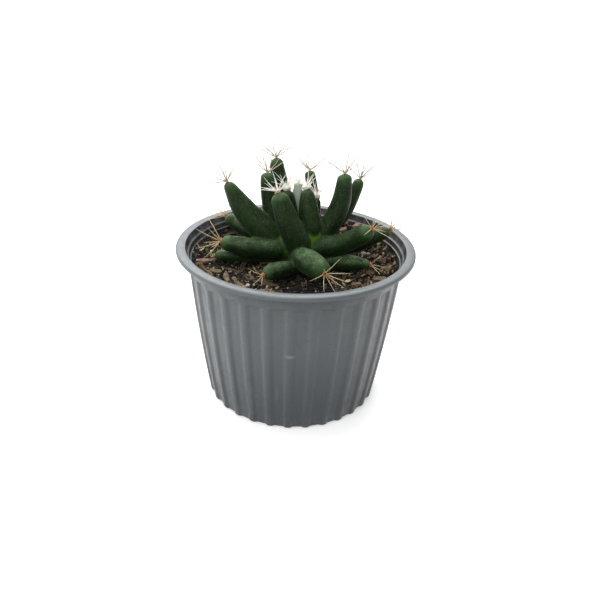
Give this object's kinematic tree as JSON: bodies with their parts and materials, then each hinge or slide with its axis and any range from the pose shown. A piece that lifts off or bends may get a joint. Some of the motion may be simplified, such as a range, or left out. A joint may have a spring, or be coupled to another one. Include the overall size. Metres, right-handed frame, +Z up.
{
  "type": "potted star cactus",
  "caption": "Low cactus of long finger-like tubercles with starry spine clusters, standing in bark potting mix in a fluted, flat-rimmed plastic nursery pot.",
  "frame": {"origin": "centre of the circle that the pot's foot stands on", "axes": "+Z up, -Y towards the side that the picture shows, +X to the right seen from there"},
  "size_m": [0.11, 0.11, 0.1221],
  "materials": {
    "pot_plastic": "satin",
    "potting_mix": "matte",
    "cactus_skin": "satin",
    "straw_spines": "satin",
    "white_spines": "matte",
    "bark": "matte",
    "perlite": "matte"
  },
  "bodies": {
    "root": {"pot": "pot_plastic", "bark_left": "bark", "bark_front_left": "bark", "bark_shred": "bark", "bark_left_small": "bark", "bark_front": "bark", "bark_thin": "bark", "bark_right": "bark", "bark_front_right": "bark", "bark_back_right": "bark", "bark_heap": "bark", "bark_scattered_1": "bark", "bark_scattered_2": "bark", "bark_scattered_3": "bark", "bark_scattered_4": "bark", "bark_scattered_5": "bark", "perlite_front": "perlite", "perlite_right": "perlite", "perlite_back": "perlite", "potting_mix": "potting_mix", "cactus_body": "cactus_skin", "areole_left_high": "straw_spines", "areole_left_back": "straw_spines", "areole_back_high": "straw_spines", "areole_back_left": "straw_spines", "areole_front_high": "white_spines", "areole_centre": "white_spines", "areole_centre_back": "straw_spines", "areole_back": "straw_spines", "areole_centre_right": "white_spines", "areole_right_high": "straw_spines", "areole_right_back": "straw_spines", "areole_right": "straw_spines", "areole_right_low_back": "straw_spines", "areole_left": "straw_spines", "areole_left_low": "straw_spines", "areole_front_left": "straw_spines", "areole_front": "straw_spines", "areole_right_low": "straw_spines", "areole_centre_left": "white_spines", "areole_behind_tall": "straw_spines", "areole_behind_right": "straw_spines", "areole_behind_left": "straw_spines", "areole_behind_low": "straw_spines"}
  },
  "joints": []
}
